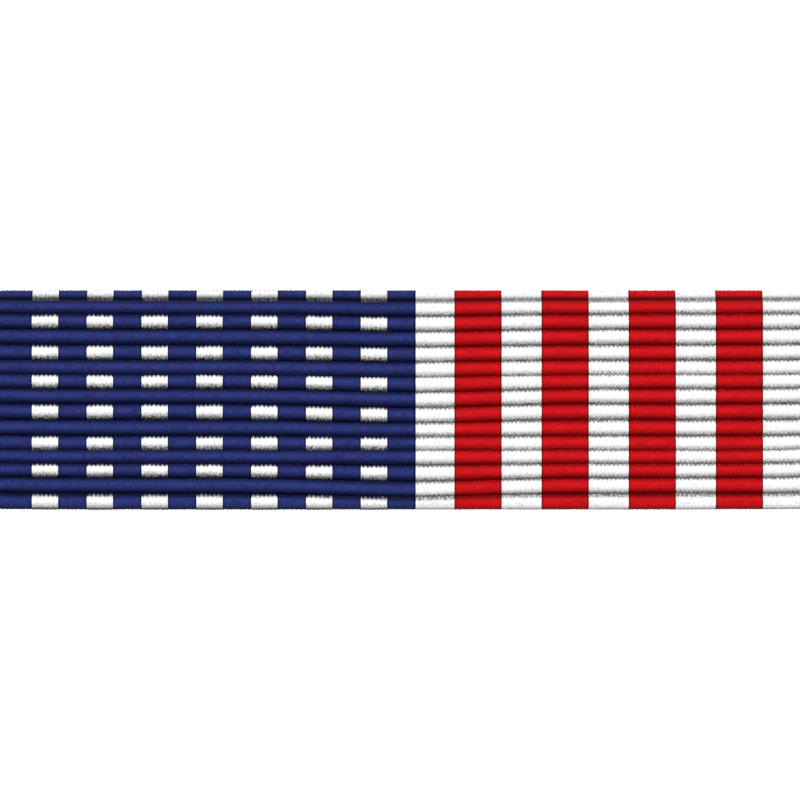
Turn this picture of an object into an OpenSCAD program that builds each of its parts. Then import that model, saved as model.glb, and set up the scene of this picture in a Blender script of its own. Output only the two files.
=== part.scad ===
// Ribbon pin: a ribbed, striped ribbon folded round a flat metal bar, which two pointed posts
// and their push-on clutches hold to cloth. Sizes are in millimetres.
// +Z is the way the ribbon faces, +X runs along the bar and +Y is its upper edge as worn.
// The origin is under the bar's centre, on the surface that the two clutches stand on.

/* [Bar] */
// Length of the finished bar, which is the woven width of the ribbon
bar_l = 34.925; // [34:0.005:36]
// Height of the finished bar, over the dashes on both folds of the ribbon
bar_h = 9.525; // [9.4:0.005:9.7]

/* [Ribbon weave] */
// Thickness of the ribbon, from its glued side to the crest of a rib
ribbon_t = 1; // [0.9:0.05:1.2]
// Distance from one rib to the next, along the ribbon
rib_pitch = 0.6505; // [0.64:0.0005:0.66]
// Radius of the weft cord that each rib is woven over
rib_r = 0.34; // [0.335:0.005:0.36]
// Ribs that each folded end covers on the back
lap_ribs = 4; // [3:1:4]

/* [Ribbon stripes] */
// Width of the blue field, from the left end
field_w = 18.15; // [17.8:0.05:18.2]
// Width of a red stripe
red_w = 2.03; // [1.8:0.01:2.2]
// Distance from one red stripe to the next
red_pitch = 3.8; // [3.7:0.01:3.8]
// Distance from the blue field to the first red stripe
red_first = 1.71; // [1.5:0.01:1.75]
// Red stripes
red_count = 4; // [2:1:4]

/* [White dashes] */
// Distance from the left end to the first column of dashes
dash_first = 1.4; // [1.2:0.05:1.5]
// Width of a dash
dash_w = 1.16; // [1:0.01:1.3]
// Distance from one column of dashes to the next
dash_pitch = 2.395; // [2.3:0.005:2.4]
// Columns of dashes
dash_columns = 7; // [3:1:7]
// How far the white warp of a dash stands above the blue of its rib
float_rise = 0.03; // [0.02:0.01:0.05]

/* [Plate and posts] */
// Thickness of the plate in the bar
plate_t = 0.8; // [0.6:0.1:1]
// Distance that the plate stops short of the ribbon at each end
plate_inset = 0.3; // [0.2:0.1:0.6]
// Distance between the two posts
post_spacing = 22; // [18:0.5:24]
// Diameter of a post
post_d = 1; // [0.9:0.05:1.1]
// Length of a post, from the plate's back to its point
post_l = 7.6; // [7.2:0.1:7.7]

/* [Clutches] */
// Diameter of a clutch's flange, on the side of the cloth
flange_d = 8.8; // [8:0.1:9]
// Height of a clutch
clutch_h = 4.9; // [4.8:0.1:5.4]
// Room for cloth between the ribbon's back and a clutch
cloth_gap = 2.4; // [2.2:0.1:2.6]

/* [Hidden] */
$fn = 96;

BLUE = [0.19, 0.22, 0.48];
WHITE = [0.97, 0.97, 0.96];
RED = [0.82, 0.09, 0.12];
PLATE_BRASS = [0.78, 0.64, 0.36];
CLUTCH_BRASS = [0.86, 0.7, 0.38];

// Space that the glue takes between the plate and the ribbon
glue = 0.03;
// A small length by which a cut runs past what it cuts
past = 1;

// Heights above the surface that the pin stands on
back_z = clutch_h + cloth_gap;
plate_z = back_z + ribbon_t + glue;
front_z = plate_z + plate_t + glue + ribbon_t;

// The rectangle that the weft cords' centres lie on, as the ribbon is folded round the plate
cord_y = bar_h / 2 - rib_r - float_rise;
cord_top = front_z - rib_r;
cord_bottom = back_z + rib_r;

// The hollow in the folded ribbon, which the plate fills
hollow_h = bar_h - 2 * (ribbon_t + float_rise);
plate_h = hollow_h - 2 * glue;
plate_chamfer = 0.12;

// Straight runs of the fold, each as [start, direction, length], from the lower front corner
// over the face and the upper edge to the back, and from the same corner over the lower edge
face_run = [[-cord_y, cord_top], [1, 0], 2 * cord_y];
function edge_run(side) = [[side * cord_y, cord_top], [0, -1], cord_top - cord_bottom];
function back_run(side) = [[side * cord_y, cord_bottom], [-side, 0], cord_y];
upper_way = [face_run, edge_run(1), back_run(1)];
lower_way = [edge_run(-1), back_run(-1)];

START = 0;
TOWARDS = 1;
LENGTH = 2;

// A place on a way is [run, distance along it]. One rib on is a pitch further along the run,
// or a pitch straight across the corner, where neighbouring cords still lie side by side.
function next_rib(way, place) =
    let (left = way[place[0]][LENGTH] - place[1])
    rib_pitch <= left ? [place[0], place[1] + rib_pitch]
        : [place[0] + 1, sqrt(rib_pitch * rib_pitch - left * left)];
function point(way, place) = way[place[0]][START] + place[1] * way[place[0]][TOWARDS];
// Ribs on the way's last run, which is the back
function on_back(way, place) = place[0] == len(way) - 1;
function ribs_on(way, place, laid = 0) =
    laid == lap_ribs ? [point(way, place)]
        : concat(
            [point(way, place)],
            let (next = next_rib(way, place))
            ribs_on(way, next, laid + (on_back(way, next) ? 1 : 0))
        );

upper_ribs = ribs_on(upper_way, [0, 0]);
lower_ribs = ribs_on(lower_way, [0, 0]);

// Every second rib shows the white warp of a dash, counted from the lower front corner
function every_second(ribs) = [for (i = [0 : 2 : len(ribs) - 1]) ribs[i]];
dash_ribs = concat(every_second(upper_ribs), every_second(lower_ribs));

// Half the width of the strip of plate that shows between the folded ends
open_y = min(upper_ribs[len(upper_ribs) - 1][0], -lower_ribs[len(lower_ribs) - 1][0]) - rib_pitch / 2;

// Section of the folded ribbon, across the bar, with y to the right and z up
module ribbon_section() {
    lower_back_first = [for (i = [len(lower_ribs) - 1 : -1 : 1]) lower_ribs[i]];
    difference() {
        union() {
            polygon(concat(lower_back_first, upper_ribs));
            for (centre = concat(upper_ribs, lower_back_first))
                translate(centre) circle(r = rib_r);
        }
        translate([-hollow_h / 2, back_z + ribbon_t])
            square([hollow_h, plate_t + 2 * glue]);
        translate([-open_y, back_z - past])
            square([2 * open_y, past + ribbon_t + glue]);
    }
}

// Section of the raised white warp over the ribs of one column of dashes
module dash_section() {
    difference() {
        for (centre = dash_ribs)
            translate(centre) circle(r = rib_r + float_rise);
        translate([-open_y, back_z - past])
            square([2 * open_y, past + ribbon_t + glue]);
    }
}

// Carries a section, drawn as y and z, along the bar, from a distance off its left end
module along_bar(from, width) {
    translate([from - bar_l / 2, 0, 0])
        rotate([90, 0, 90])
            linear_extrude(width) children();
}

// One woven band. The stripes are warp of other colours in it, and aren't pieces of their own.
module ribbon() {
    color(BLUE) along_bar(0, field_w) ribbon_section();
    color(WHITE) along_bar(field_w, bar_l - field_w) ribbon_section();
    color(RED)
        for (i = [0 : red_count - 1])
            along_bar(field_w + red_first + i * red_pitch, red_w) ribbon_section();
    color(WHITE)
        for (i = [0 : dash_columns - 1])
            along_bar(dash_first + i * dash_pitch, dash_w) dash_section();
}

// A pointed post under the plate, with the foot that it is welded on by
module post() {
    point_l = 1.3;
    point_r = 0.12;
    foot_r = 1.1;
    foot_h = 0.25;
    rotate_extrude()
        polygon([
            [0, 0], [foot_r, 0], [foot_r, -foot_h], [post_d / 2, -foot_h],
            [post_d / 2, point_l - post_l], [point_r, -post_l], [0, -post_l]
        ]);
}

// The plate inside the ribbon, with both posts welded to its back
module mounting_bar() {
    half_h = plate_h / 2;
    half_flat = half_h - plate_chamfer;
    color(PLATE_BRASS) {
        translate([0, 0, plate_z])
            along_bar(plate_inset, bar_l - 2 * plate_inset)
                polygon([
                    [-half_flat, 0], [half_flat, 0],
                    [half_h, plate_chamfer], [half_h, plate_t - plate_chamfer],
                    [half_flat, plate_t], [-half_flat, plate_t],
                    [-half_h, plate_t - plate_chamfer], [-half_h, plate_chamfer]
                ]);
        for (side = [-1, 1])
            translate([side * post_spacing / 2, 0, plate_z]) post();
    }
}

// A plain push-on clutch: a flange against the cloth, a neck for the fingers and a cap, with a
// blind bore that grips the post
module clutch() {
    flange_r = flange_d / 2;
    flange_h = 0.7;
    edge = 0.15;
    neck_r = 2.7;
    neck_h = 0.6;
    cap_r = 3.3;
    cap_edge = 0.5;
    floor_t = 0.5;
    bore_r = post_d / 2 + 0.03;
    mouth_r = bore_r + 0.3;
    cap_top = clutch_h - flange_h - neck_h;
    rotate_extrude()
        polygon([
            [0, 0], [cap_r - cap_edge, 0],
            for (a = [15 : 15 : 75])
                [cap_r - cap_edge + cap_edge * sin(a), cap_edge - cap_edge * cos(a)],
            [cap_r, cap_edge],
            [cap_r, cap_top - edge], [cap_r - edge, cap_top],
            [neck_r, cap_top], [neck_r, cap_top + neck_h],
            [flange_r - edge, cap_top + neck_h], [flange_r, cap_top + neck_h + edge],
            [flange_r, clutch_h - edge], [flange_r - edge, clutch_h],
            [mouth_r, clutch_h], [bore_r, clutch_h - (mouth_r - bore_r)],
            [bore_r, floor_t], [0, floor_t]
        ]);
}

module clutch_left() {
    color(CLUTCH_BRASS) translate([-post_spacing / 2, 0, 0]) clutch();
}

module clutch_right() {
    color(CLUTCH_BRASS) translate([post_spacing / 2, 0, 0]) clutch();
}

ribbon();
mounting_bar();
clutch_left();
clutch_right();
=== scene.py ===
"""Ribbon pin: a ribbed, striped ribbon folded round a brass bar, with two posts and their clutches.

The ribbon is a warp-faced weave. Its weft cords run along the bar and make the ribs. Its warp ends
run round the bar, and half of them cover each rib while the other half pass beneath it.
"""

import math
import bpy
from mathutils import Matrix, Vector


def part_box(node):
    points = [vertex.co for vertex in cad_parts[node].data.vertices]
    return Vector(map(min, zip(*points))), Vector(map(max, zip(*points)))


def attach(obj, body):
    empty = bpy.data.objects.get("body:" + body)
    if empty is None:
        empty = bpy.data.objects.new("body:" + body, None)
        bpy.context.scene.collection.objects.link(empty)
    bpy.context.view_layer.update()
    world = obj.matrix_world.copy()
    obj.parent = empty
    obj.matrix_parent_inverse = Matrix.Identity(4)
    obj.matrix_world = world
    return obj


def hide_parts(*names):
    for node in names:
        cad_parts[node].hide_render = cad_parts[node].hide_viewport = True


bl_info = {
    "name": "Ribbon Pin",
    "version": (1, 0, 0),
    "blender": (4, 5, 0),
    "location": "View3D > Sidebar > Ribbon Pin",
    "description": "Weaves a striped ribbon round its bar, turns the posts and clutches, and lights them",
    "category": "Add Mesh",
}

import bmesh
import bpy
import numpy as np
from bpy.props import FloatProperty, FloatVectorProperty, IntProperty, PointerProperty

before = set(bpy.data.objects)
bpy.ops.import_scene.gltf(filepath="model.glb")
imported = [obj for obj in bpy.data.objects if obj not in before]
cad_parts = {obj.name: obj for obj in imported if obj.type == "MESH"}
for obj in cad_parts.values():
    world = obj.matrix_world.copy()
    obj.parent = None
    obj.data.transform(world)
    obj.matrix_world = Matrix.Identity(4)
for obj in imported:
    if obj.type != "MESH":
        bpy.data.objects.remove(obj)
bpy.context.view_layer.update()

MM = 0.001
RIBBON_LOW, RIBBON_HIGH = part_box("ribbon")
METAL_LOW, METAL_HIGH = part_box("mounting_bar")
CLUTCHES = ("clutch_left", "clutch_right")
# Ribs are numbered from 0, along the face's lower edge, to this one, along its upper edge.
TOP_RIB = 14
# Spans beside a rib's crest, in ribs, over which painted shades set in. A groove is half a rib off the
# crest.
TIP_SPAN = (0.28, 0.5)
# NOTCH_SPAN is no shade: it shapes the notches in the dashes' white yarn.
NOTCH_SPAN = (0.335, 0.585)
GROOVE_SPAN = (0.4, 0.5)
DASH_SPAN = (-0.12, 0.55)
FOLD_SPAN = (0.18, 0.42)
OPENING_SPAN = (0.22, 0.42)
# EDGE_SPAN sets in the painted light on the rib along the lower edge.
EDGE_SPAN = (0, 0.05)
LOW_LINE_SPAN = (0.06, 0.26)


def number(name, description, default, **kind):
    """A property that holds a number."""
    return FloatProperty(name=name, description=description, default=default, **kind)


def whole(name, description, default, **kind):
    """A property that holds a whole number."""
    return IntProperty(name=name, description=description, default=default, **kind)


def length(name, description, millimetres):
    """A property that holds a length, whose default is given in millimetres."""
    return number(name, description, millimetres * MM, precision=6, subtype="DISTANCE", unit="LENGTH")


def colour(name, description, default):
    """A property that holds a colour, as linear red, green and blue."""
    return FloatVectorProperty(
        name=name, description=description, default=default, min=0, max=1, subtype="COLOR"
    )


def share(name, description, default):
    """A property that holds a share of the whole."""
    return number(name, description, default, min=0, max=1, subtype="FACTOR")


class RibbonWeave(bpy.types.PropertyGroup):
    """Cords and ends of the ribbon, and how evenly they lie."""

    rib_pitch: length("Rib pitch", "Distance from one rib to the next along the ribbon", 0.6505)
    cord_radius: length("Cord radius", "Radius of the weft cord under each rib", 0.34)
    ends: whole("Ends", "Warp ends side by side on each rib", 186, min=20)
    lower_ribs: whole("Lower ribs", "Ribs from the lower front corner to the lower cut end", 7)
    upper_ribs: whole("Upper ribs", "Ribs from the lower front corner to the upper cut end", 20)
    dash_rise: length("Dash rise", "Room for the dashes above their ribs, half of which they fill", 0.03)
    groove_drop: length("Groove drop", "How far a groove runs below the lips beside it", 0.06)
    tooth: length("Tooth", "How far each end reaches past the middle of a groove", 0.018)
    end_relief: length("End relief", "How far the gaps between ends lie below the ends", 0.02)
    beat_height: length("Beat height", "How far the uneven beat moves a rib off its even place", 0.055)
    beat_ribs: number("Beat", "Ribs from one bunching of the beat to the next", 5.45)
    slow_beat: length("Slow beat", "Height of the slower wave in the beat", 0.025)
    slow_ribs: number("Slow beat ribs", "Ribs from crest to crest of that slower wave", 7.5)
    upper_swell: length("Upper swell", "How far the cords at the upper edge bulge out", 0.045)
    lower_swell: length("Lower swell", "How far the cords at the lower edge bulge out", 0.015)
    bunch_height: length("Bunch height", "How far the lower ribs bunch up near the middle of the bar", 0.072)
    bunch_first: number("First of a bunch", "Rib at which that wave starts to rise", 1.9)
    bunch_ribs: number("Bunch ribs", "Ribs from crest to crest of that wave", 5.2)
    bunch_end: number("End of the bunches", "Rib at which that wave has faded to a half", 6)
    corner_sink: share("Corner sink", "How much of a rib's radius a groove over a corner takes away", 0.4)
    tight_lift: length("Tight lift", "How much shallower the groove is where the beat was hardest", 0.05)
    bow_height: length("Bow height", "How far the ribs sag near the middle of the bar", 0.113)
    bow_width: length("Bow width", "Spread of the sag to each side of its lowest place", 3.2)
    bow_place: length("Bow place", "Distance of the lowest place from the middle of the bar", 0.52)
    selvedge_pull: length("Selvedge pull", "How far the ribs rise at the bar's two ends", 0.03)
    selvedge_width: length("Selvedge width", "How far in that rise reaches", 1.2)
    drift: length("Drift", "How far a rib wanders along its own way", 0.006)
    fray: length("Fray", "How unevenly the ribbon's two ends are cut", 0.02)
    seed: whole("Seed", "Choice of the small unevenness", 11)


class RibbonStripes(bpy.types.PropertyGroup):
    """Places and colours of the stripes and dashes, and the shade and light painted into the yarn."""

    field_width: length("Field width", "Width of the blue field, from the left end", 18.147)
    red_first: length("First red", "Distance from the blue field to the first red stripe", 1.68)
    red_width: length("Red width", "Width of a red stripe", 2.06)
    red_pitch: length("Red pitch", "Distance from one red stripe to the next", 3.79)
    dash_first: length("First dashes", "Distance from the left end to the first column of dashes", 1.45)
    dash_width: length("Dash width", "Width of a dash", 1.14)
    dash_pitch: length("Dash pitch", "Distance from one column of dashes to the next", 2.385)
    blue: colour("Blue", "Colour of the blue warp", (0.0172, 0.0304, 0.142))
    blue_mottle: colour("Blue mottle", "Colour of its purplish patches", (0.022, 0.0269, 0.142))
    red: colour("Red", "Colour of the red warp", (0.5, 0.0048, 0.0076))
    white: colour("White", "Colour of the white warp", (0.855, 0.855, 0.85))
    # The shares below darken or lighten the yarn's colour: they are painted shade and painted light.
    blue_shade: share("Blue shade", "How much darker the blue yarn looks near a groove", 0.615)
    red_shade: share("Red shade", "How much darker the red yarn looks near a groove", 0.5)
    white_shade: share("White shade", "How much darker the white yarn looks near a groove", 0.615)
    dash_shade: share("Dash shade", "How much darker still the lower side of a dash looks", 0.78)
    fold_shade: share("Fold shade", "How much darker still the groove along the upper edge looks", 0.54)
    top_shade: share("Top shade", "How much darker the rib along the upper edge looks", 0.16)
    opening_shade: share("Opening shade", "How much darker still the lowest groove looks", 0.34)
    edge_light: share("Edge light", "How much lighter the rib along the lower edge looks", 0.14)
    thrown_back: share("Thrown back", "How much of its shade the middle of a groove loses", 0.15)
    off_face: share("Off the face", "How much of a dash's shade is left off the face", 0.35)
    dark_gap_shade: share("Dark gap shade", "How much darker the gaps between blue or red ends look", 0.05)
    white_gap_shade: share("White gap shade", "How much darker the gaps between white ends look", 0.35)
    seam_shade: share("Seam shade", "How much darker blue and red look right beside the white", 0.6)
    seam_width: length("Seam width", "Width of that darker line", 0.12)


class MetalSizes(bpy.types.PropertyGroup):
    """Sizes and colours of the plate, the posts and the clutches."""

    plate_thickness: length("Plate thickness", "Thickness of the plate in the bar", 0.8)
    plate_round: length("Plate round", "Radius on the plate's edges", 0.14)
    glue: length("Glue", "Thickness of the glue between plate and ribbon", 0.03)
    post_spacing: length("Post spacing", "Distance between the two posts", 22)
    post_radius: length("Post radius", "Radius of a post", 0.5)
    foot_radius: length("Foot radius", "Radius of the foot that a post is welded on by", 1.1)
    foot_height: length("Foot height", "Height of that foot", 0.25)
    point_length: length("Point length", "Length of a post's taper", 1.3)
    point_radius: length("Point radius", "Radius of a post's tip", 0.12)
    flange_height: length("Flange height", "Thickness of a clutch's flange", 0.7)
    neck_radius: length("Neck radius", "Radius of a clutch's neck", 2.7)
    neck_height: length("Neck height", "Height of a clutch's neck", 0.6)
    cap_radius: length("Cap radius", "Radius of a clutch's cap", 3.3)
    floor_thickness: length("Floor thickness", "Metal under the bore of a clutch", 0.5)
    bore_radius: length("Bore radius", "Radius of the bore that grips the post", 0.53)
    mouth: length("Mouth", "How far the bore widens at its mouth", 0.3)
    plate_brass: colour("Plate brass", "Colour of the plate and posts", (0.62, 0.44, 0.2))
    clutch_brass: colour("Clutch brass", "Colour of the clutches", (0.78, 0.56, 0.24))


class Studio(bpy.types.PropertyGroup):
    """Camera, lights and floor."""

    lens: number("Lens", "Focal length of the camera", 250, subtype="DISTANCE_CAMERA")
    key_tilt: number(
        "Key tilt",
        "Angle of the main light from straight above, towards the upper edge",
        math.radians(28),
        subtype="ANGLE",
    )
    key_power: number("Key power", "Power of the main light", 1.68, unit="POWER")
    key_size: number("Key size", "Width of the main light", 0.16, subtype="DISTANCE")
    key_distance: number("Key distance", "Distance of the main light", 0.4, subtype="DISTANCE")
    sky: number("Sky", "Strength of the light from all round", 0.26)
    floor_glow: number("Floor glow", "Light that the floor gives off, to keep shadows faint", 0.94)


class Value:
    """A number that changes over a surface: a socket that Python's signs combine by Math nodes."""

    def __init__(self, finish, socket):
        self.finish = finish
        self.socket = socket

    def maths(self, operation, *inputs):
        return self.finish.node("ShaderNodeMath", {"operation": operation}, dict(enumerate(inputs)))

    def __add__(self, other):
        return self.maths("ADD", self, other)

    __radd__ = __add__

    def __sub__(self, other):
        return self.maths("SUBTRACT", self, other)

    def __rsub__(self, other):
        return self.maths("SUBTRACT", other, self)

    def __mul__(self, other):
        return self.maths("MULTIPLY", self, other)

    __rmul__ = __mul__

    def __truediv__(self, other):
        return self.maths("DIVIDE", self, other)

    def __lt__(self, other):
        return self.maths("LESS_THAN", self, other)

    def __gt__(self, other):
        return self.maths("GREATER_THAN", self, other)

    def __abs__(self):
        return self.maths("ABSOLUTE", self)

    def __floor__(self):
        return self.maths("FLOOR", self)

    def root(self):
        return self.maths("SQRT", self)

    def past_whole(self):
        """How far the number is past the whole number below it."""
        return self.maths("FRACT", self)

    def eased(self, low, high):
        """0 up to low, 1 from high on, and an S-curve between."""
        ends = {"Value": self, "From Min": low, "From Max": high}
        return self.finish.node("ShaderNodeMapRange", {"interpolation_type": "SMOOTHSTEP"}, ends)


class Finish:
    """A material built up from nodes, with a Principled shader at its end."""

    def __init__(self, name, **constants):
        self.material = bpy.data.materials.new(name)
        self.material.use_nodes = True
        self.tree = self.material.node_tree
        self.shader = self.tree.nodes["Principled BSDF"]
        for socket, value in constants.items():
            self.paint(socket.replace("_", " "), value)

    def paint(self, socket, value):
        """Feeds or sets one of the shader's own sockets."""
        self.give(self.shader.inputs[socket], value)

    def give(self, socket, value):
        """Links a Value to an input socket, or sets the socket to a number or a colour."""
        if isinstance(value, Value):
            self.tree.links.new(value.socket, socket)
        elif socket.type == "RGBA":
            socket.default_value = (*value, 1)
        else:
            socket.default_value = value

    def node(self, kind, settings, inputs, output=0):
        """Adds a node: its own settings first, then a value or a link for each of its inputs."""
        node = self.tree.nodes.new(kind)
        for setting, value in settings.items():
            setattr(node, setting, value)
        for name, value in inputs.items():
            self.give(node.inputs[name], value)
        return Value(self, node.outputs[output])

    def attribute(self, name):
        """A number that the mesh holds at each of its points."""
        return self.node("ShaderNodeAttribute", {"attribute_name": name}, {}, "Fac")

    def place(self):
        """The point's own place, in metres, as x, y and z."""
        at = self.node("ShaderNodeTexCoord", {}, {}, "Object")
        return [self.node("ShaderNodeSeparateXYZ", {}, {0: at}, axis) for axis in range(3)]

    def chance(self, x, y):
        """A random number from 0 to 1 for each whole x and y."""
        at = self.node("ShaderNodeCombineXYZ", {}, {0: x, 1: y})
        return self.node("ShaderNodeTexWhiteNoise", {"noise_dimensions": "2D"}, {"Vector": at}, "Value")

    def noise(self, x, y, z=0.0, detail=2.0):
        """Soft random values about 0.5, roughly one unit from crest to crest."""
        at = self.node("ShaderNodeCombineXYZ", {}, {0: x, 1: y, 2: z})
        return self.node("ShaderNodeTexNoise", {}, {"Vector": at, "Scale": 1.0, "Detail": detail})

    def mix(self, amount, first, second):
        """The first colour where amount is 0, and the second where it is 1."""
        # A Mix node has its colour inputs at numbers 6 and 7, and its colour output at number 2.
        return self.node("ShaderNodeMix", {"data_type": "RGBA"}, {0: amount, 6: first, 7: second}, 2)

    def scaled(self, first, amount):
        """A colour made darker or lighter."""
        return self.node("ShaderNodeVectorMath", {"operation": "SCALE"}, {0: first, "Scale": amount})

    def bump(self, height, distance):
        """Roughens the surface by a height from 0 to 1, which stands for that distance."""
        self.paint("Normal", self.node("ShaderNodeBump", {}, {"Height": height, "Distance": distance}))


class ClothPlace:
    """Where each point of the cloth lies, as values that its colour and its painted shade are worked out
    from.

    off_crest is the distance from the rib's crest, which is 0.5 ribs in a groove. off_end is 0 in the
    middle of a warp end and 1 between two ends. luck is a chance from 0 to 1 for each end on each rib.
    in_front is 1 on what faces forwards, and fades to 0 over the edges."""

    def __init__(self, cloth, weave):
        self.cloth = cloth
        self.end = cloth.attribute("end")
        self.rib = cloth.attribute("rib")
        rib_number = math.floor(self.rib + 0.5)
        self.odd_rib = (rib_number * 0.5).past_whole() * 2
        self.upper_side = self.rib > rib_number
        self.lower_side = 1 - self.upper_side
        self.off_crest = abs(self.rib - rib_number)
        from_gap = self.end + self.odd_rib * 0.5 + 0.5
        self.off_end = abs(from_gap.past_whole() - 0.5) * 2
        self.luck = cloth.chance(math.floor(from_gap), rib_number)
        _, y, z = cloth.place()
        cords_z = RIBBON_HIGH.z - weave.dash_rise - weave.cord_radius
        self.in_front = (z - cords_z).eased(-0.12 * MM, 0.03 * MM)
        self.pitches = y / weave.rib_pitch, z / weave.rib_pitch

    def on_side(self, upper, lower):
        """One number on the upper side of each rib, and another on its lower side."""
        return self.upper_side * (upper - lower) + lower

    def grain(self, along, over, seed, detail=2.0):
        """Noise with so many crests to each end and to each rib, which doesn't stretch over a corner."""
        y, z = self.pitches
        return self.cloth.noise(self.end * along, y * over, z * over + seed, detail)


class Warp:
    """Which yarn covers each point of the cloth: blue or red, and white where neither is.

    Each stripe is a group of ends of one colour. Each dash is a group of white ends that cover every
    second rib and pass under the blue ends of the ribs between. Along the upper side of a dash there is
    a notch between every two ends."""

    def __init__(self, at, weave, stripes):
        from_left = at.end * ((RIBBON_HIGH.x - RIBBON_LOW.x) / weave.ends)

        def past_stripe(first, width, pitch):
            """How far a point lies past the nearest stripe of a row, or less than 0 on the stripe."""
            along = (from_left - (first + width / 2)) / pitch + 0.5
            return abs(along.past_whole() - 0.5) * pitch - width / 2

        def seam(past):
            """1 at a stripe's side, and 0 from the seam's width on."""
            return 1 - abs(past).eased(0, stripes.seam_width)

        past_field = from_left - stripes.field_width
        past_dash = past_stripe(stripes.dash_first, stripes.dash_width, stripes.dash_pitch)
        first_red = stripes.field_width + stripes.red_first
        past_red = past_stripe(first_red, stripes.red_width, stripes.red_pitch)
        in_field = past_field < 0
        past_edge = from_left > stripes.dash_first - stripes.seam_width
        dash_rib = in_field * (1 - at.odd_rib) * past_edge
        notch_depth, notch_chance = 0.07, 0.06
        ragged = at.off_crest + at.off_end * notch_depth + at.luck * notch_chance
        notch = at.upper_side * ragged.eased(*NOTCH_SPAN)
        self.dash = dash_rib * (past_dash < 0) * (1 - notch)
        self.red = (past_red < 0) * (1 - in_field)
        self.blue = in_field * (1 - self.dash)
        self.coloured = self.blue + self.red
        # seams marks the borders of blue and red with the white, for a thin line of painted shade there.
        self.seams = seam(past_field) + seam(past_dash) * dash_rib + seam(past_red) * (1 - in_field)

    def by_yarn(self, white, blue, red):
        """A number for each colour of yarn."""
        return self.blue * (blue - white) + self.red * (red - white) + white


def groove_shade(at, warp, uneven):
    """How much painted shade each point gets beside a groove, from 0 to 1. Distances are in ribs.

    The ribbon is lit from above, so the shade starts nearer the crest on a rib's lower side than on its
    upper, and on blue yarn it starts nearest. In the highest groove of the face and the lowest it
    reaches further down and less far up."""
    upper_lag = warp.by_yarn(white=0.09, blue=0, red=0.015)
    lower_lag = warp.by_yarn(white=0.11, blue=0, red=0.05)
    lowest_bank = warp.by_yarn(white=0.12, blue=0.07, red=0.07)
    highest = (at.rib > TOP_RIB - 1) * (at.rib < TOP_RIB) * at.on_side(upper=0.06, lower=-0.06)
    lowest = (at.rib > 0) * (at.rib < 1) * at.on_side(upper=lowest_bank, lower=-0.06)
    from_crest = at.off_crest - at.on_side(upper_lag, lower_lag) + uneven + highest + lowest
    starts = at.on_side(upper=0.17, lower=-0.045)
    full = at.on_side(upper=0.475, lower=0.4)
    return from_crest.eased(starts, full)


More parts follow.
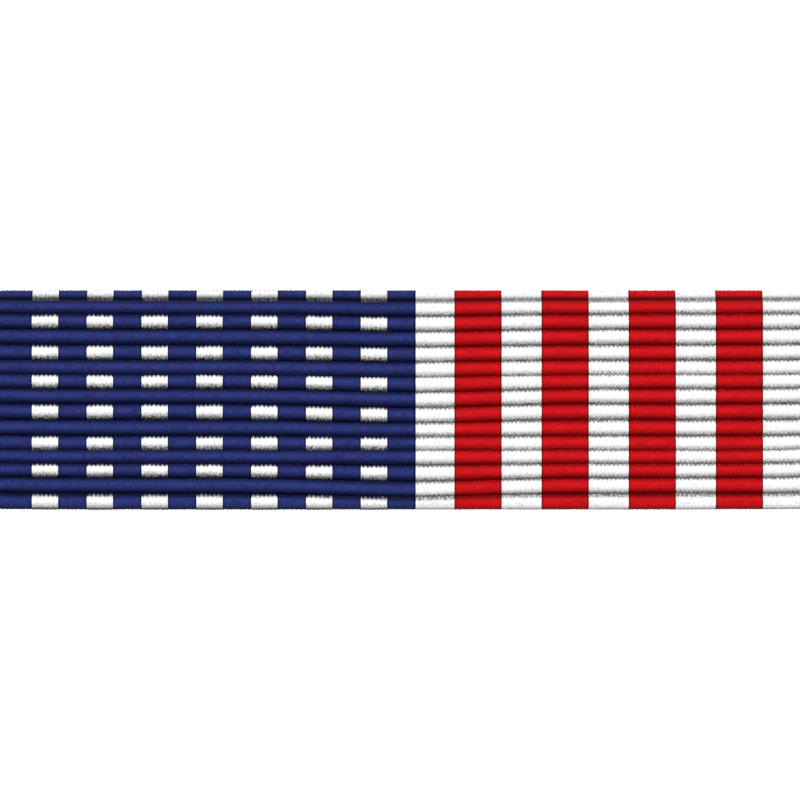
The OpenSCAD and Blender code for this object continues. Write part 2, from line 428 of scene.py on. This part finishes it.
def yarn_light(at, warp, stripes):
    """How light the yarn looks at each point, as a factor on its colour: painted shade and painted light.

    It is the product of what each kind of painted shade leaves, with streaks and flecks of tone all over and
    specks in the painted shade. Beside a groove each end narrows to a tip, and the gaps between the tips
    get painted shade. The gaps differ by chance from end to end."""
    off_crest = at.off_crest
    streaks_along = warp.by_yarn(white=2, blue=1.1, red=0.6)
    streaks_over = warp.by_yarn(white=5, blue=2.4, red=2.4)
    streak = at.grain(streaks_along, streaks_over, seed=0.0, detail=3) - 0.5
    fleck = at.grain(along=3, over=4, seed=7.0) - 0.5
    speck = at.grain(along=2.2, over=6, seed=9.0) - 0.5
    first_rib = abs(at.rib) < 0.5
    top_rib = abs(at.rib - TOP_RIB) < 0.5
    on_face = abs(at.rib - TOP_RIB / 2) < TOP_RIB / 2 + 0.5
    top_groove = (at.rib > TOP_RIB - 1) * (at.rib < TOP_RIB)

    by_speck, by_streak = 0.1, 0.4
    # Painted shade beside the grooves, with an uneven border.
    groove_shading = groove_shade(at, warp, speck * by_speck + streak * by_streak)
    # The middle of a groove loses some of its painted shade, as if lit by light thrown back into it.
    groove_shading = groove_shading * (1 - off_crest.eased(*GROOVE_SPAN) * stripes.thrown_back)
    tip = off_crest.eased(*TIP_SPAN) * (0.5 + at.luck)
    gap = (at.off_end + tip - 1).eased(0, 0.5)
    # Below each dash the yarn gets painted shade: on the lowest dashes within a shorter way, and off the
    # face less of it.
    shortened_by = 1.6
    from_top = off_crest * (1 + first_rib * at.in_front * shortened_by)
    kept = on_face * (1 - first_rib * (1 - at.in_front)) * (1 - stripes.off_face) + stripes.off_face
    dash_shading = warp.dash * at.lower_side * from_top.eased(*DASH_SPAN) * kept
    # Painted shade in the groove along the upper fold and in the lowest groove, painted light on the
    # rib along the lower edge, and a line of painted shade along that edge.
    fold_shading = top_rib * at.lower_side * off_crest.eased(*FOLD_SPAN)
    opening_shading = first_rib * at.upper_side * off_crest.eased(*OPENING_SPAN)
    edge_lighting = first_rib * at.lower_side * off_crest.eased(*EDGE_SPAN)
    low_line_shading = first_rib * at.lower_side * at.in_front * off_crest.eased(*LOW_LINE_SPAN)
    # Each term is painted shade taken off the yarn's colour: beside grooves, in the gaps between ends, below
    # dashes,
    # beside the white, in the upper fold and the lowest groove, along the lower edge and on the top rib.
    shades = (
        groove_shading * warp.by_yarn(stripes.white_shade, stripes.blue_shade, stripes.red_shade),
        gap * warp.by_yarn(stripes.white_gap_shade, stripes.dark_gap_shade, stripes.dark_gap_shade),
        dash_shading * stripes.dash_shade,
        warp.seams * warp.coloured * stripes.seam_shade,
        fold_shading * warp.by_yarn(white=0.35, blue=1, red=1) * stripes.fold_shade,
        opening_shading * warp.coloured * stripes.opening_shade,
        low_line_shading * warp.by_yarn(white=0.08, blue=0.45, red=0.28),
        # This term is negative: painted light on the rib along the lower edge.
        edge_lighting * -stripes.edge_light,
        top_rib * stripes.top_shade,
    )
    light = math.prod(1 - shade for shade in shades)
    evenly, streaks, flecks = 1.02, warp.by_yarn(white=0.9, blue=1.6, red=0.9), 0.28
    light = light * (streak * streaks + fleck * flecks + evenly)
    # Specks show in the painted shade beside the grooves and below the dashes, most on the face.
    specks, more_on_face, less_at_fold = warp.by_yarn(white=3, blue=1.5, red=1.5), 1.2, 2
    in_groove = specks + on_face * more_on_face - top_groove * less_at_fold
    specks, more_on_face, less_at_top = 1.5, 3, 0.6
    below_dash = specks + on_face * more_on_face * (1 - first_rib - top_rib * less_at_top)
    return light * (1 + speck * (groove_shading * in_groove + dash_shading * below_dash))


def ribbon_cloth(weave, stripes):
    """Warp yarn of three colours over cords, with fine fibres, and shade and light painted into its colour.
    """
    cloth = Finish("ribbon_cloth", Roughness=0.75, Specular_IOR_Level=0.06)
    at = ClothPlace(cloth, weave)
    warp = Warp(at, weave, stripes)
    mottle = at.grain(along=0.3, over=0.7, seed=5.0, detail=4)
    blue_yarn = cloth.mix(mottle.eased(0.36, 0.64), stripes.blue, stripes.blue_mottle)
    yarn = cloth.mix(warp.red, cloth.mix(warp.blue, stripes.white, blue_yarn), stripes.red)
    # The yarn's colour is scaled by yarn_light, which paints shade and light into it.
    cloth.paint("Base Color", cloth.scaled(yarn, yarn_light(at, warp, stripes)))
    fibres_to_end, fibres_to_rib = 9, 1.5
    cloth.bump(cloth.noise(at.end * fibres_to_end, at.rib * fibres_to_rib, 3.0), 0.004 * MM)
    return cloth.material


def cord_centres(weave):
    """Centres of the cords as y + iz, from one past the lower cut end to one past the upper.

    They are the corners of a chain of links one pitch long, which is laid both ways from the lower
    front corner, along a rectangle round the plate."""
    low_y = RIBBON_LOW.y + weave.cord_radius - weave.lower_swell
    high_y = RIBBON_HIGH.y - weave.cord_radius + weave.upper_swell
    reach = weave.dash_rise + weave.cord_radius
    front, back = RIBBON_HIGH.z - reach, RIBBON_LOW.z + reach
    corner = complex(low_y, front)

    def chain(corners, links):
        spots = [corners[0]]
        run = 0
        for _ in range(links):
            left = abs(corners[run + 1] - spots[-1])
            start = spots[-1]
            step = weave.rib_pitch
            if step > left:
                run += 1
                start = corners[run]
                step = math.sqrt(step * step - left * left)
            way = corners[run + 1] - corners[run]
            spots.append(start + step * way / abs(way))
        return spots

    over = [corner, complex(high_y, front), complex(high_y, back), complex(0, back)]
    under = [corner, complex(low_y, back), complex(0, back)]
    lower = chain(under, weave.lower_ribs + 1)
    return np.array(lower[:0:-1] + chain(over, weave.upper_ribs + 1))


def rib_shifts(weave, ribs, x):
    """How far each rib lies off its even place at each x, in ribs.

    Where the weaver's beat was uneven they follow two waves over the ribs. A bell-shaped sag near the
    middle of the bar takes their place there, and fades out towards the bar's edges, with a wave of its
    own among the lower ribs. The selvedges pull the ribs up a little, and each rib drifts along three
    sine waves of its own."""
    first, last = -0.5, TOP_RIB + 0.1
    face = np.sqrt(np.sin(np.pi * np.clip((ribs - first) / (last - first), 0, 1)))
    bell = np.exp(-0.5 * ((x - weave.bow_place) / weave.bow_width) ** 2)
    pull = weave.selvedge_pull * np.exp((abs(x) - RIBBON_HIGH.x) / weave.selvedge_width)
    beat = weave.beat_height * np.sin(2 * np.pi * ribs / weave.beat_ribs)
    beat = beat + weave.slow_beat * np.sin(2 * np.pi * ribs / weave.slow_ribs)
    bunch = weave.bunch_height * np.sin(2 * np.pi * (ribs - weave.bunch_first) / weave.bunch_ribs)
    steepness = 2
    bunch = bunch * (ribs >= 0) / (1 + np.exp(steepness * (ribs - weave.bunch_end)))
    random = np.random.default_rng(weave.seed)
    wave_lengths = np.array([5, 9, 17]) * MM
    phases = random.uniform(0, 2 * np.pi, (len(ribs), 1, 3))
    drift = weave.drift * np.sin(2 * np.pi * x[:, None] / wave_lengths + phases).sum(axis=2)
    bow = (bunch - weave.bow_height * face)[:, None]
    return (beat[:, None] * (1 - bell) + bow * bell + pull + drift) / weave.rib_pitch


def in_dash(stripes, x):
    """Whether each x lies in a column of dashes."""
    from_left = x - RIBBON_LOW.x
    in_column = (from_left - stripes.dash_first) % stripes.dash_pitch < stripes.dash_width
    return in_column & (from_left > stripes.dash_first) & (from_left < stripes.field_width)


def shade_places(weave, ribs, places, shares):
    """Each row's place in ribs, for its painted shade: rows of a groove, a crest and what lies between.

    On the face it is the row's distance from the first cord over the pitch, as if the ribbon were flat,
    but below the first cord it follows the fourth power of that distance and comes to almost half a rib
    at the edge, so that the painted shade along the lower edge sets in late and steeply. Elsewhere it
    follows from how far the row is turned from its groove, so that a rib that is bent round a corner has
    a wider crest without painted shade."""
    link = np.diff(places)
    outward = 1j * link / abs(link)
    crest = outward[:-1] + outward[1:]
    crest = crest / abs(crest)
    lip_angle = math.asin(weave.rib_pitch / 2 / weave.cord_radius)
    first_y = places[1:-1][ribs == 0].real
    on_face = (ribs >= 0) & (ribs <= TOP_RIB)
    place_at_edge = -0.46

    def shaded(side, link_outward, f):
        spread = lip_angle + abs(np.angle(crest / link_outward))
        from_crest = np.clip(lip_angle - spread * (1 - f), 0, None)
        by_turn = ribs + side * 0.5 * np.sin(from_crest) / math.sin(lip_angle)
        direction = crest * np.exp(-1j * side * spread * f)
        y = places[1:-1].real + weave.cord_radius * direction.real
        as_flat = (y - first_y) / weave.rib_pitch
        pressed = place_at_edge * ((y - first_y) / weave.cord_radius) ** 4
        as_flat = np.where(as_flat < 0, pressed, as_flat)
        as_flat = np.clip(as_flat, ribs - 0.5, ribs + 0.5)
        return np.where(on_face & (direction.imag > 0), as_flat, by_turn)

    lower = [shaded(-1, outward[:-1], f) for f in shares]
    upper = [shaded(1, outward[1:], f) for f in shares[::-1]]
    return np.stack([ribs - 0.5, *lower, shaded(1, outward[1:], 0.0), *upper], axis=1)


def woven_side(weave, stripes):
    """The ribbon's outer side, as an array of y + iz by row and column, with each row's place in ribs
    and each column's x.

    Each column is half an end wide, and even and odd columns take turns, rib by rib, at lying on top.
    Over a rib a point is the cord's centre + crest * e ** (growth * f**3 + i * angle * f). Crest is the
    way from that centre to the top of the rib. Growth and angle are the logarithm and the turn of the
    way to the groove's lip over crest, and f goes from 0 to 1. So the way is turned evenly from crest
    to lip, and its length changes mostly near the lip. A groove over a corner of the bar is deeper."""
    radius = weave.cord_radius
    ribs = np.arange(-weave.lower_ribs - 1, weave.upper_ribs + 2)
    columns = np.arange(2 * weave.ends + 1)
    x = np.linspace(RIBBON_LOW.x, RIBBON_HIGH.x, len(columns))
    even_places = cord_centres(weave)
    shifted = ribs[:, None] + rib_shifts(weave, ribs, x)
    centres = np.interp(shifted, ribs, even_places.real) + 1j * np.interp(shifted, ribs, even_places.imag)

    step = np.diff(centres, axis=0)
    ahead = step / abs(step)
    outward = 1j * ahead
    # Where cords are pushed apart, the lips between them still stand a little above their centres.
    widest = 0.98 * radius
    half_step = np.minimum(abs(step) / 2, widest)
    on_top = (ribs[:, None] + columns) % 2 == 0
    lip = (centres[:-1] + centres[1:]) / 2 + outward * np.sqrt(radius**2 - half_step**2)
    random = np.random.default_rng(weave.seed + 1)
    reach = weave.tooth * random.uniform(0.5, 1.5, lip.shape)
    lip += ahead * np.where(on_top[:-1], reach, -reach)
    # Every fifth groove is a narrow one, except over a corner.
    over_corner = abs((outward**2).imag).mean(axis=1, keepdims=True)
    tight_every, tight_first = 5, 3
    tight = (ribs[:-1, None] % tight_every == tight_first) * (1 - over_corner)
    lip += outward * weave.tight_lift * tight
    groove = lip - outward * (weave.groove_drop + weave.corner_sink * radius * over_corner)

    by_column, by_point = 0.003 * MM, 0.002 * MM
    unevenness = random.normal(0, by_column, len(columns))
    unevenness = unevenness + random.normal(0, by_point, (len(ribs) - 2, len(columns)))
    rib = ribs[1:-1, None]
    dash_here = (rib % 2 == 0) & in_dash(stripes, x)
    height = radius - weave.end_relief * ~on_top[1:-1] + 0.5 * weave.dash_rise * dash_here + unevenness
    selvedge_drop = 0.02 * MM
    height[:, [0, -1]] -= selvedge_drop
    mean_outward = outward[:-1] + outward[1:]
    centre = centres[1:-1]
    crest = mean_outward / abs(mean_outward) * height

    # Places of the rows between a groove and a crest, as shares of the way from the crest to the lip.
    shares = np.array([0.88, 0.62, 0.32])
    rows = []
    sinks = weave.corner_sink * over_corner
    for lips, sink, order in ((lip[:-1], sinks[:-1], 1), (lip[1:], sinks[1:], -1)):
        turn = (lips - centre) / crest
        growth, angle = np.log(abs(turn)), np.angle(turn)
        half = [
            centre + crest * np.exp(growth * f**3 + 1j * angle * f) * (1 - sink * f**3)
            for f in shares
        ]
        rows.append(half[::order])
    rows = np.stack([groove[:-1], *rows[0], centre + crest, *rows[1]], axis=1)
    side = np.concatenate([rows.reshape(-1, len(columns)), groove[-1:]])
    in_ribs = shade_places(weave, ribs[1:-1], even_places, shares)
    # Beside a tight groove the painted shade is narrower by this share.
    narrower = 0.17
    for beside, is_tight in ((slice(1, 4), tight[:-1]), (slice(5, None), tight[1:])):
        in_ribs[:, beside] = rib + (in_ribs[:, beside] - rib) * (1 - narrower * is_tight)
    in_ribs = np.append(in_ribs, ribs[-2] + 0.5)

    # The ribs behind the bar keep every second of their rows.
    behind = np.repeat(even_places.imag[1:-1] < RIBBON_LOW.z + 2 * radius, rows.shape[1])
    is_spare = np.arange(len(behind)) % 2 == 1
    kept = np.append(~(behind & is_spare), True)
    return side[kept], in_ribs[kept], x


def lined(outer, metal):
    """The ribbon's glued side: for each outer point the nearest point of the glued plate, whose edges
    are rounded by a hair."""
    soft = 0.02 * MM
    spare = metal.glue - soft
    y_reach = METAL_HIGH.y + spare
    back, front = METAL_HIGH.z - metal.plate_thickness - spare, METAL_HIGH.z + spare
    nearest = np.clip(outer.real, -y_reach, y_reach) + 1j * np.clip(outer.imag, back, front)
    away = outer - nearest
    return nearest + soft * away / abs(away)


def grid_faces(numbers, strip=(0, 1)):
    """Faces between the neighbours in a grid of point numbers, and their corners' places when the grid
    is spread evenly over a strip of the picture map, which is given by its lowest and highest place."""
    rows, columns = numbers.shape
    across, up = np.meshgrid(np.linspace(0, 1, columns), np.linspace(*strip, rows))
    spread = np.stack([across, up], axis=-1)

    def corners(grid):
        return np.stack([grid[:-1, :-1], grid[:-1, 1:], grid[1:, 1:], grid[1:, :-1]], axis=2)

    return corners(numbers).reshape(-1, 4), corners(spread).reshape(-1, 2)


class Cloth:
    """Points of the ribbon, each with its place in ribs and in ends, and its faces."""

    def __init__(self):
        self.points, self.rib, self.end = [], [], []
        self.faces, self.map = [], []
        self.count = 0

    def lay(self, x, folded, rib, end):
        """Adds points at x and y + iz, and returns their numbers."""
        x, folded, rib, end = np.broadcast_arrays(x, folded, rib, end)
        self.points.append(np.stack([x, folded.real, folded.imag], axis=-1).reshape(-1, 3))
        self.rib.append(rib.ravel())
        self.end.append(end.ravel())
        numbers = self.count + np.arange(x.size).reshape(x.shape)
        self.count += x.size
        return numbers

    def skin(self, numbers, strip):
        """Adds the faces of a grid of points."""
        faces, on_map = grid_faces(numbers, strip)
        self.faces += faces.tolist()
        self.map.append(on_map)

    def panel(self, numbers, on_map):
        """Adds one many-sided face."""
        self.faces.append(numbers.tolist())
        self.map.append(on_map)

    def mesh(self, name):
        mesh = bpy.data.meshes.new(name)
        mesh.from_pydata(np.concatenate(self.points).tolist(), [], self.faces)
        for layer, values in (("rib", self.rib), ("end", self.end)):
            values = np.concatenate(values).astype(np.float32)
            mesh.attributes.new(layer, "FLOAT", "POINT").data.foreach_set("value", values)
        on_map = np.concatenate(self.map).astype(np.float32)
        mesh.uv_layers.new(name="OFBake").uv.foreach_set("vector", on_map.ravel())
        mesh.shade_smooth()
        return mesh


def ribbon_mesh(weave, stripes, metal):
    """One closed woven band: the ribbed outer side, the glued side, a selvedge at each end of the bar
    and the two cut ends behind it. Each of them has its own strip of the picture map."""
    outer, rib, x = woven_side(weave, stripes)
    glued = lined(outer, metal)
    end = np.arange(len(x)) / 2
    # A selvedge stands a hair past the bar's end, and the edges of both sides are tucked in from it.
    reach = RIBBON_HIGH.x + 0.04 * MM
    tucked = 0.035 * MM
    x[[0, -1]] = tucked - reach, reach - tucked
    cloth = Cloth()
    outside = cloth.lay(x, outer, rib[:, None], end)
    inside = [cloth.lay(x[c], glued[:, c], rib, end[c]) for c in (0, -1)]
    cloth.skin(outside, (0.1, 1))
    cloth.skin(np.stack(inside[::-1], axis=1)[1:-1], (0.06, 0.07))

    # At the selvedge each cord turns back, so the edge stands out at a rib and falls in at a groove.
    depths = np.array([0.08, 0.3, 0.9])
    deepest = 0.012 * MM
    fall = deepest * (2 * abs(rib - np.round(rib))) ** 3
    walls = []
    for side, c, strip in ((-1, 0, (0, 0.02)), (1, -1, (0.03, 0.05))):
        folded = outer[:, c] + (glued[:, c] - outer[:, c]) * depths[:, None]
        between = cloth.lay(side * (reach - fall * (1 - depths[:, None])), folded, rib, end[c])
        wall = np.stack([outside[:, c], *between, inside[c]])
        walls.append(wall)
        cloth.skin(wall[::-side], strip)

    # Each cut end is as deep as the ribbon is thick, and its fibres end unevenly.
    random = np.random.default_rng(weave.seed + 2)
    hair = 0.001
    for row, way, strip in ((0, 1, (0.075, 0.083)), (-1, -1, (0.085, 0.093))):
        cut = outer[row] + (glued[row] - outer[row]) * np.append(depths, 1)[:, None]
        cut = (cut + random.normal(0, weave.fray, cut.shape))[:, 1:-1]
        middle = cloth.lay(x[1:-1], cut, rib[row], end[1:-1])
        cut = np.column_stack([walls[0][1:, row], middle, walls[1][1:, row]])
        cloth.skin(np.stack([outside[row], *cut])[::-way], strip)
        lining = np.concatenate([cut[-1], [inside[1][row + way], inside[0][row + way]]])
        across = np.append(np.linspace(0, 1, len(x)), [1, 0])
        up = strip[0] - hair * np.append(np.ones(len(x)), [2, 2])
        cloth.panel(lining[::-way], np.stack([across, up], axis=1)[::-way])
    return cloth.mesh("ribbon_cloth")


def rounded(corners, steps=6):
    """A profile with round corners. Each corner is r, z and a radius, and is turned on the arc of that
    radius that touches both of its sides. A radius of 0 keeps it sharp."""
    spots = [complex(r, z) for r, z, _ in corners]
    profile = []
    for i, (_, _, radius) in enumerate(corners):
        spot = spots[i]
        if radius == 0:
            profile.append([spot])
            continue
        back = (spots[i - 1] - spot) / abs(spots[i - 1] - spot)
        on = (spots[i + 1] - spot) / abs(spots[i + 1] - spot)
        half_angle = abs(np.angle(on / back)) / 2
        centre = spot + (back + on) / abs(back + on) * radius / math.sin(half_angle)
        first = spot + back * radius / math.tan(half_angle) - centre
        last = spot + on * radius / math.tan(half_angle) - centre
        profile.append(centre + first * np.exp(1j * np.angle(last / first) * np.linspace(0, 1, steps)))
    return np.concatenate(profile)


def turned(profile, x, turns):
    """Points and faces of a solid of revolution about the upright line through x. The profile is r + iz,
    starts and ends on that line, and goes up the outside."""
    angles = np.arange(turns) * 2 * np.pi / turns
    r, z = profile[1:-1, None].real, profile[1:-1, None].imag
    around = np.stack([x + r * np.cos(angles), r * np.sin(angles), z + 0 * angles], axis=-1)
    around = around.reshape(-1, 3)
    poles = [(x, 0, profile[0].imag), (x, 0, profile[-1].imag)]
    numbers = np.arange(len(around)).reshape(-1, turns)
    closed = np.column_stack([numbers, numbers[:, 0]])
    first, last = len(around), len(around) + 1
    faces = grid_faces(closed)[0].tolist()
    faces += [(first, b, a) for a, b in zip(closed[0, :-1].tolist(), closed[0, 1:].tolist())]
    faces += [(last, a, b) for a, b in zip(closed[-1, :-1].tolist(), closed[-1, 1:].tolist())]
    return np.concatenate([around, poles]).tolist(), faces


def plate_surface(metal):
    """Points and faces of the plate: a section in y and z with round corners, carried along x, and
    drawn in at both ends on a quarter circle of the same radius."""
    round_off = metal.plate_round
    half_x, half_y = METAL_HIGH.x - round_off, METAL_HIGH.y - round_off
    half_z = metal.plate_thickness / 2 - round_off
    turn = np.linspace(0, np.pi / 2, 7)
    starts = np.arange(4) * np.pi / 2
    corners = np.array([complex(half_y, half_z), complex(-half_y, half_z)])
    corners = np.concatenate([corners, -corners])[:, None]
    rims = round_off * np.exp(1j * (starts[:, None] + turn))
    fullness = np.sin(np.concatenate([turn, turn[::-1]]))[:, None, None]
    stations = half_x + round_off * np.cos(turn)
    stations = np.concatenate([-stations, stations[::-1]])
    sections = (corners + rims * fullness).reshape(len(stations), -1)
    middle = METAL_HIGH.z - metal.plate_thickness / 2
    x = stations[:, None] + 0 * sections.real
    points = np.stack([x, sections.real, middle + sections.imag], axis=-1)
    numbers = np.arange(sections.size).reshape(sections.shape)
    closed = np.column_stack([numbers, numbers[:, 0]])
    faces = grid_faces(closed)[0].tolist()
    return points.reshape(-1, 3).tolist(), faces + [numbers[0][::-1].tolist(), numbers[-1].tolist()]


def post_profile(metal):
    """Half a section of a post and its foot, from the point up to the middle of the plate."""
    seat = METAL_HIGH.z - metal.plate_thickness
    root = seat + metal.plate_thickness / 2
    foot = seat - metal.foot_height
    tip = METAL_LOW.z
    return rounded(
        [
            (0, tip, 0),
            (metal.point_radius, tip, 0.06 * MM),
            (metal.post_radius, tip + metal.point_length, 0.4 * MM),
            (metal.post_radius, foot, 0.08 * MM),
            (metal.foot_radius, foot, 0.1 * MM),
            (metal.foot_radius, root, 0),
            (0, root, 0),
        ]
    )


def clutch_profile(metal, low, high):
    """Half a section of a clutch: from the middle of its cap, round the outside and down the bore."""
    flange_radius = (high.x - low.x) / 2
    flange_low = high.z - metal.flange_height
    neck_low = flange_low - metal.neck_height
    bore_low = low.z + metal.floor_thickness
    return rounded(
        [
            (0, low.z, 0),
            (metal.cap_radius, low.z, 0.5 * MM),
            (metal.cap_radius, neck_low, 0.18 * MM),
            (metal.neck_radius, neck_low, 0.12 * MM),
            (metal.neck_radius, flange_low, 0.12 * MM),
            (flange_radius, flange_low, 0.3 * MM),
            (flange_radius, high.z, 0.3 * MM),
            (metal.bore_radius + metal.mouth, high.z, 0.1 * MM),
            (metal.bore_radius, high.z - metal.mouth, 0.08 * MM),
            (metal.bore_radius, bore_low, 0),
            (0, bore_low, 0),
        ]
    )


def solid(name, points, faces):
    """A mesh of a metal piece, with its doubled points merged and its faces outwards."""
    mesh = bpy.data.meshes.new(name)
    mesh.from_pydata(points, [], faces)
    shape = bmesh.new()
    shape.from_mesh(mesh)
    bmesh.ops.remove_doubles(shape, verts=shape.verts, dist=0.0005 * MM)
    bmesh.ops.recalc_face_normals(shape, faces=shape.faces)
    shape.to_mesh(mesh)
    shape.free()
    return mesh


def smooth_curves(mesh):
    """Shades a metal piece smoothly, but keeps its sharp corners."""
    mesh.shade_smooth()
    mesh.set_sharp_from_angle(angle=math.radians(40))


def piece(name, mesh, material, node):
    """Puts a finished mesh into the scene as the piece that stands for a CAD node."""
    mesh.materials.clear()
    mesh.materials.append(material)
    made = bpy.data.objects.new(name, mesh)
    bpy.context.scene.collection.objects.link(made)
    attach(made, "root")
    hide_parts(node)


def plate_finish(metal):
    """Rolled brass, with fine lines along the bar and a faint tarnish."""
    brass = Finish("plate_brass", Metallic=1.0)
    x, y, z = brass.place()
    line_length, line_width = 4 * MM, 0.03 * MM
    patch_length, patch_width = 3 * MM, 2 * MM
    lines = brass.noise(x / line_length, y / line_width, z / line_width, detail=3)
    tarnish = brass.noise(x / patch_length, y / patch_width, z / patch_width, detail=4)
    dull = [part * 0.72 for part in metal.plate_brass]
    brass.paint("Base Color", brass.mix(tarnish.eased(0.45, 0.75), metal.plate_brass, dull))
    brass.paint("Roughness", 0.26 + lines * 0.16 + tarnish * 0.1)
    brass.bump(lines, 0.004 * MM)
    return brass.material


def clutch_finish(metal):
    """Turned brass, with fine rings about each clutch's own middle and a faint tarnish."""
    brass = Finish("clutch_brass", Metallic=1.0)
    x, y, z = brass.place()
    off_x = abs(x) - metal.post_spacing / 2
    radius = (off_x * off_x + y * y).root()
    ring, patch = 0.05 * MM, 2.5 * MM
    rings = brass.noise(radius / ring, z / ring, detail=2)
    tarnish = brass.noise(x / patch, y / patch, z / patch, detail=4)
    dull = [part * 0.75 for part in metal.clutch_brass]
    brass.paint("Base Color", brass.mix(tarnish.eased(0.5, 0.8), metal.clutch_brass, dull))
    brass.paint("Roughness", 0.16 + rings * 0.12 + tarnish * 0.1)
    brass.bump(rings, 0.003 * MM)
    return brass.material


class RIBBONPIN_OT_set_stage(bpy.types.Operator):
    """Sets the camera straight in front of the ribbon, with soft light and a pale floor"""

    bl_idname = "ribbonpin.set_stage"
    bl_label = "Set Stage"

    def execute(self, context):
        scene = context.scene
        studio = scene.ribbon_pin_studio

        def place(name, data, location, tilt=0.0):
            made = bpy.data.objects.new(name, data)
            made.location = location
            made.rotation_euler.x = tilt
            scene.collection.objects.link(made)
            return made

        camera = bpy.data.cameras.new("camera")
        camera.lens = studio.lens
        camera.clip_start = 0.01
        # The picture's sides lie a little within the bar's ends.
        width = 0.996 * (RIBBON_HIGH.x - RIBBON_LOW.x)
        distance = width * camera.lens / camera.sensor_width
        scene.camera = place("camera", camera, (0, 0, RIBBON_HIGH.z + distance))

        key = bpy.data.lights.new("key", "AREA")
        key.size = studio.key_size
        key.energy = studio.key_power
        tilt = studio.key_tilt
        away = studio.key_distance
        place("key", key, (0, away * math.sin(tilt), away * math.cos(tilt)), -tilt)

        scene.world = bpy.data.worlds.new("sky")
        scene.world.use_nodes = True
        background = scene.world.node_tree.nodes["Background"]
        background.inputs["Color"].default_value = (1, 1, 1, 1)
        background.inputs["Strength"].default_value = studio.sky

        mesh = bpy.data.meshes.new("floor")
        far = 20
        corners = [(-far, -far, 0), (far, -far, 0), (far, far, 0), (-far, far, 0)]
        mesh.from_pydata(corners, [], [(0, 1, 2, 3)])
        grey = (0.25, 0.25, 0.25)
        paper = Finish("floor_paper", Base_Color=grey, Roughness=0.9, Specular_IOR_Level=0.0)
        paper.paint("Emission Color", (1, 1, 1))
        paper.paint("Emission Strength", studio.floor_glow)
        mesh.materials.append(paper.material)
        place("floor", mesh, (0, 0, 0))
        scene.view_settings.view_transform = "Standard"
        return {"FINISHED"}


class RIBBONPIN_OT_weave_ribbon(bpy.types.Operator):
    """Weaves the ribbon round the bar"""

    bl_idname = "ribbonpin.weave_ribbon"
    bl_label = "Weave Ribbon"

    def execute(self, context):
        weave = context.scene.ribbon_pin_weave
        stripes = context.scene.ribbon_pin_stripes
        metal = context.scene.ribbon_pin_metal
        mesh = ribbon_mesh(weave, stripes, metal)
        piece("woven_ribbon", mesh, ribbon_cloth(weave, stripes), "ribbon")
        return {"FINISHED"}


class RIBBONPIN_OT_make_mounting_bar(bpy.types.Operator):
    """Makes the plate inside the ribbon and welds the two posts to it"""

    bl_idname = "ribbonpin.make_mounting_bar"
    bl_label = "Make Mounting Bar"

    def execute(self, context):
        metal = context.scene.ribbon_pin_metal
        plate = bpy.data.objects.new("plate", solid("plate", *plate_surface(metal)))
        context.scene.collection.objects.link(plate)
        posts = []
        for side in (-1, 1):
            points, faces = turned(post_profile(metal), side * metal.post_spacing / 2, turns=64)
            post = bpy.data.objects.new("post", solid("post", points, faces))
            context.scene.collection.objects.link(post)
            weld = plate.modifiers.new("weld", "BOOLEAN")
            weld.operation = "UNION"
            weld.solver = "EXACT"
            weld.object = post
            posts.append(post)
        graph = context.evaluated_depsgraph_get()
        welded = bpy.data.meshes.new_from_object(plate.evaluated_get(graph))
        for part in (plate, *posts):
            bpy.data.objects.remove(part)
        if len(welded.polygons) == 0:
            raise RuntimeError("The posts could not be welded to the plate.")
        smooth_curves(welded)
        piece("plate_and_posts", welded, plate_finish(metal), "mounting_bar")
        return {"FINISHED"}


class RIBBONPIN_OT_turn_clutches(bpy.types.Operator):
    """Turns the two clutches that push on to the posts"""

    bl_idname = "ribbonpin.turn_clutches"
    bl_label = "Turn Clutches"

    def execute(self, context):
        metal = context.scene.ribbon_pin_metal
        brass = clutch_finish(metal)
        for node in CLUTCHES:
            low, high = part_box(node)
            points, faces = turned(clutch_profile(metal, low, high), (low.x + high.x) / 2, turns=144)
            mesh = solid(node, points, faces)
            smooth_curves(mesh)
            piece("turned_" + node, mesh, brass, node)
        return {"FINISHED"}


class RIBBONPIN_PT_sidebar(bpy.types.Panel):
    """Lists the pin's pieces, and the sizes and colours that they are made from"""

    bl_idname = "RIBBONPIN_PT_sidebar"
    bl_label = "Ribbon Pin"
    bl_space_type = "VIEW_3D"
    bl_region_type = "UI"
    bl_category = "Ribbon Pin"

    def draw(self, context):
        layout = self.layout
        for operator in OPERATORS:
            layout.operator(operator.bl_idname)
        for name, group in SETTINGS.items():
            box = layout.box()
            box.label(text=group.__doc__)
            for setting in group.__annotations__:
                box.prop(getattr(context.scene, name), setting)


SETTINGS = {
    "ribbon_pin_weave": RibbonWeave,
    "ribbon_pin_stripes": RibbonStripes,
    "ribbon_pin_metal": MetalSizes,
    "ribbon_pin_studio": Studio,
}
OPERATORS = (
    RIBBONPIN_OT_set_stage,
    RIBBONPIN_OT_weave_ribbon,
    RIBBONPIN_OT_make_mounting_bar,
    RIBBONPIN_OT_turn_clutches,
)
CLASSES = (*SETTINGS.values(), *OPERATORS, RIBBONPIN_PT_sidebar)


def register():
    for item in CLASSES:
        bpy.utils.register_class(item)
    for name, group in SETTINGS.items():
        setattr(bpy.types.Scene, name, PointerProperty(type=group))


def unregister():
    for name in SETTINGS:
        delattr(bpy.types.Scene, name)
    for item in reversed(CLASSES):
        bpy.utils.unregister_class(item)


def main():
    register()
    bpy.ops.ribbonpin.set_stage()
    bpy.ops.ribbonpin.weave_ribbon()
    bpy.ops.ribbonpin.make_mounting_bar()
    bpy.ops.ribbonpin.turn_clutches()


if __name__ == "__main__":
    main()
